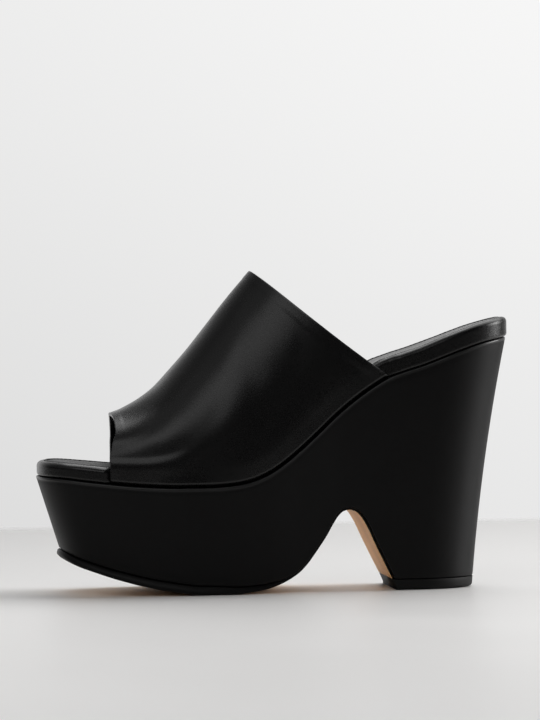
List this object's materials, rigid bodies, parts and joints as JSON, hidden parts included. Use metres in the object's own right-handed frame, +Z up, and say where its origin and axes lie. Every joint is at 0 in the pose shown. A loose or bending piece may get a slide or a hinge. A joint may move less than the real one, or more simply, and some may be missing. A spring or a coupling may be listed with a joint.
{
  "type": "open-toed wedge mule",
  "caption": "Slip-on shoe for the left foot with a broad leather upper, open toe, platform sole and a high wedge heel with an arch notch.",
  "frame": {"origin": "on the floor, at the middle of the shoe's length and width", "axes": "toe towards -X and heel towards +X, outer side -Y, inner side +Y, +Z up"},
  "size_m": [0.2319, 0.086, 0.1559],
  "materials": {
    "upper_leather": "smooth, soft sheen",
    "sock_leather": "smooth, soft sheen",
    "footbed_leather": "smooth, soft sheen",
    "wedge_leather": "smooth, nearly matt",
    "sole_leather": "natural leather, matt",
    "heel_rubber": "matt"
  },
  "bodies": {
    "root": {"upper": "upper_leather", "sock": "sock_leather", "footbed": "footbed_leather", "wedge": "wedge_leather", "outsole": "sole_leather", "heel_cap": "heel_rubber"}
  },
  "joints": []
}
